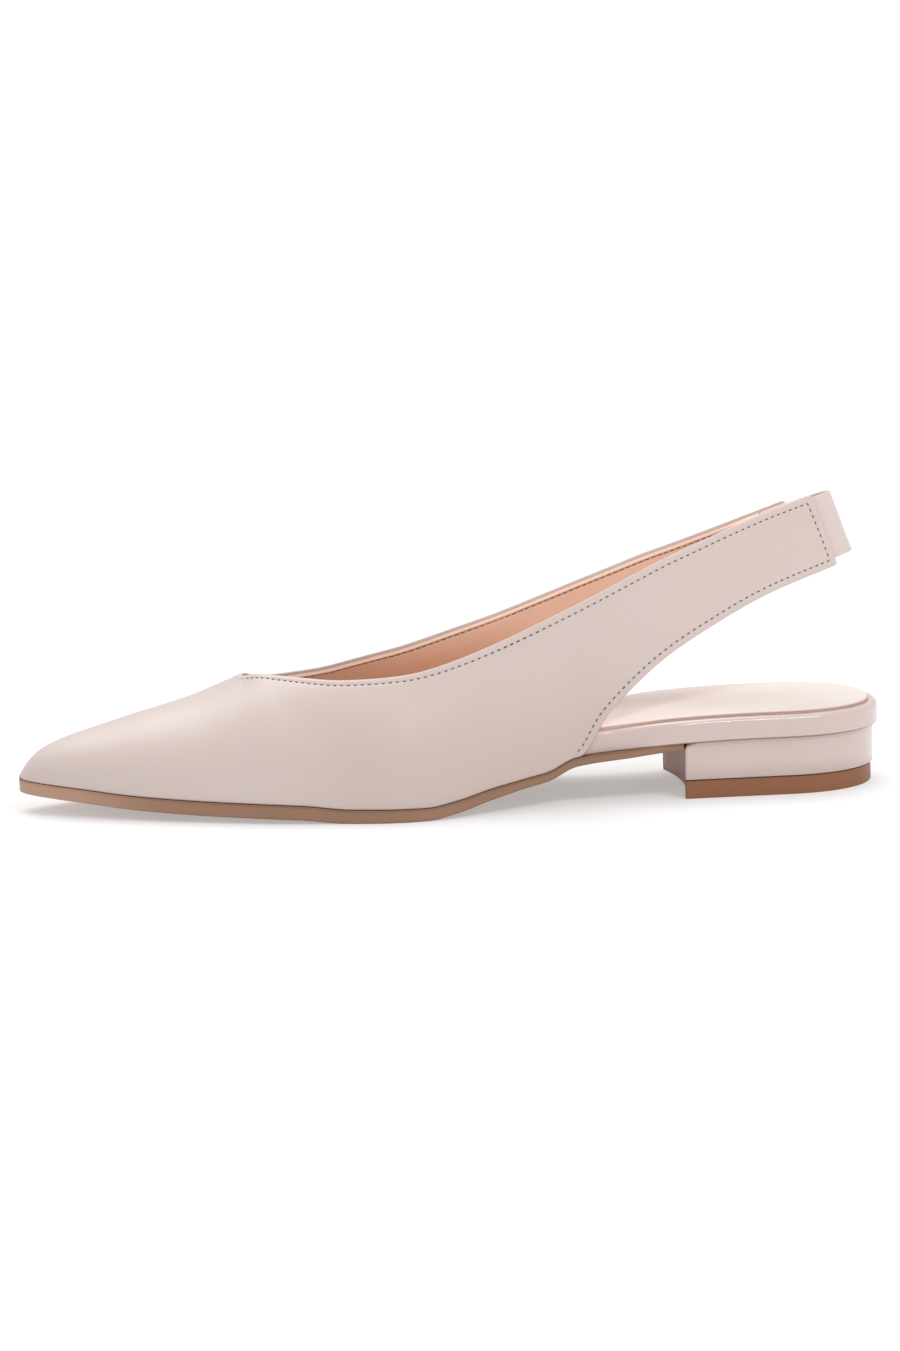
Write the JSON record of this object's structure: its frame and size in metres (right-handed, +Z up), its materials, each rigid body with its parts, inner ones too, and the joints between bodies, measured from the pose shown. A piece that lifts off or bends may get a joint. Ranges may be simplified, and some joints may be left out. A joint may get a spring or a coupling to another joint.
{
  "type": "slingback flat shoe",
  "caption": "Pointed slingback flat for the left foot, with a low block heel, an open collar and an elastic loop behind the heel.",
  "frame": {"origin": "bottom centre of the shoe's bounding box: the floor that it stands on is z = 0", "axes": "+X from the toe towards the back of the heel, +Y towards the medial (inner) side, +Z up"},
  "size_m": [0.263, 0.0782, 0.0894],
  "materials": {
    "outsole_resin": "tan moulded unit sole with a soft satin edge",
    "top_piece_rubber": "brown satin rubber",
    "heel_leather": "smooth pale rose leather cover, glazed",
    "rand_leather": "smooth pale rose leather wrap, glazed",
    "sock_leather": "cream lining leather, low sheen",
    "upper_leather": "smooth pale rose leather, semi-matt",
    "elastic": "matt pale rose elastic webbing with fine ribs"
  },
  "bodies": {
    "root": {"outsole": "outsole_resin", "top_piece": "top_piece_rubber", "heel": "heel_leather", "insole": "rand_leather", "sock": "sock_leather", "upper": "upper_leather", "back_strap": "elastic"}
  },
  "joints": []
}
